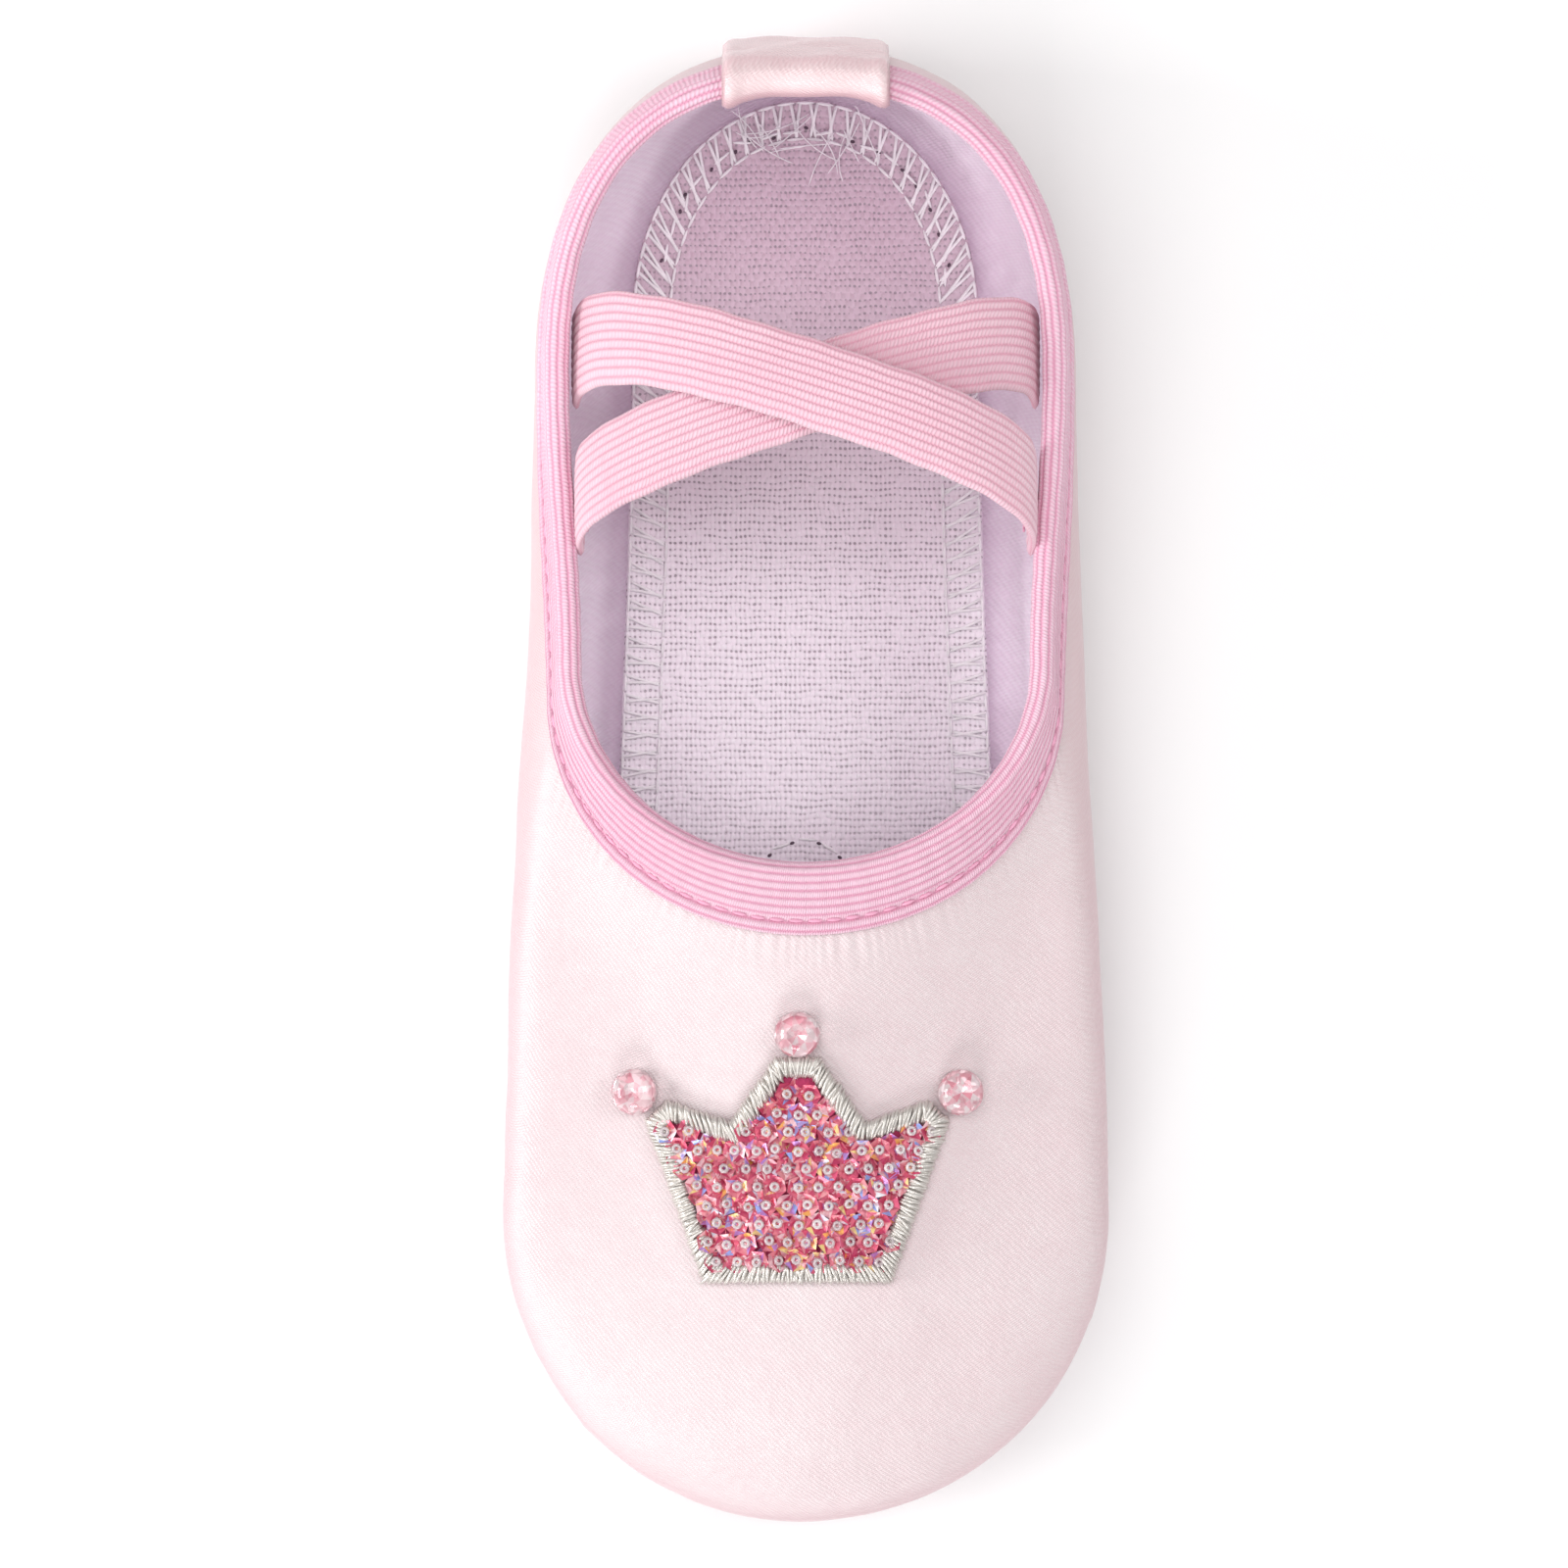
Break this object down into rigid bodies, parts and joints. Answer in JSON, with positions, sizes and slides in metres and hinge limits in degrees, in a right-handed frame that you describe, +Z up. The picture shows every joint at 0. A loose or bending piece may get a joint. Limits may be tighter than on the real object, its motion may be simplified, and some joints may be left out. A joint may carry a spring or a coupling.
{
  "type": "ballet slipper",
  "caption": "Child's satin ballet slipper with a split suede sole, elastic-bound opening, crossed elastic straps, heel tab and a sequinned crown on the vamp.",
  "frame": {"origin": "on the floor under the middle of the slipper's bounding box", "axes": "-Y towards the toe, +Y towards the heel, +X across the slipper, +Z up"},
  "size_m": [0.0734, 0.18, 0.0446],
  "materials": {
    "satin": "satin weave, soft sheen",
    "lining": "matt cotton twill",
    "canvas": "coarse plain weave",
    "foam": "soft pad",
    "suede": "napped suede",
    "elastic": "ribbed elastic",
    "strap": "ribbed elastic",
    "pale_thread": "sewing thread",
    "pink_thread": "sewing thread",
    "silver_thread": "metallic embroidery thread",
    "sequin": "iridescent film",
    "gem": "faceted acrylic"
  },
  "bodies": {
    "slipper": {"satin_upper": "satin", "cotton_lining": "lining", "topline_binding": "elastic", "binding_stitch": "pink_thread", "heel_tab": "satin", "heel_tab_stitch_left": "pink_thread", "heel_tab_stitch_right": "pink_thread", "back_seam": "pale_thread", "insole_foam": "foam", "insole_canvas": "canvas", "insole_overlock": "pale_thread", "forefoot_sole": "suede", "forefoot_stitch_outer": "pale_thread", "forefoot_stitch_inner": "pale_thread", "heel_sole": "suede", "heel_stitch": "pale_thread", "crown_backing": "sequin", "crown_border": "silver_thread", "sequin_row_1": "sequin", "sequin_row_2": "sequin", "sequin_row_3": "sequin", "sequin_row_4": "sequin", "sequin_row_5": "sequin", "sequin_row_6": "sequin", "sequin_row_7": "sequin", "gem_centre": "gem", "gem_left": "gem", "gem_right": "gem"},
    "over_strap": {"strap_over": "strap", "strap_tack_left_rear": "pink_thread", "strap_tack_right_front": "pink_thread"},
    "under_strap": {"strap_under": "strap", "strap_tack_left_front": "pink_thread", "strap_tack_right_rear": "pink_thread"}
  },
  "joints": [
    {"name": "strap_over_swing", "type": "hinge", "parent": "slipper", "child": "over_strap", "pos_m": [0, 0.0416, 0.0284], "axis": [1, 0, 0], "range_deg": [-25, 45], "stiffness_Nm_per_rad": 0.005},
    {"name": "strap_under_swing", "type": "hinge", "parent": "slipper", "child": "under_strap", "pos_m": [0, 0.0416, 0.0284], "axis": [1, 0, 0], "range_deg": [-25, 45], "stiffness_Nm_per_rad": 0.005}
  ],
  "couplings": [
    {"joint": "strap_under_swing", "follows": "strap_over_swing", "ratio": 1}
  ]
}
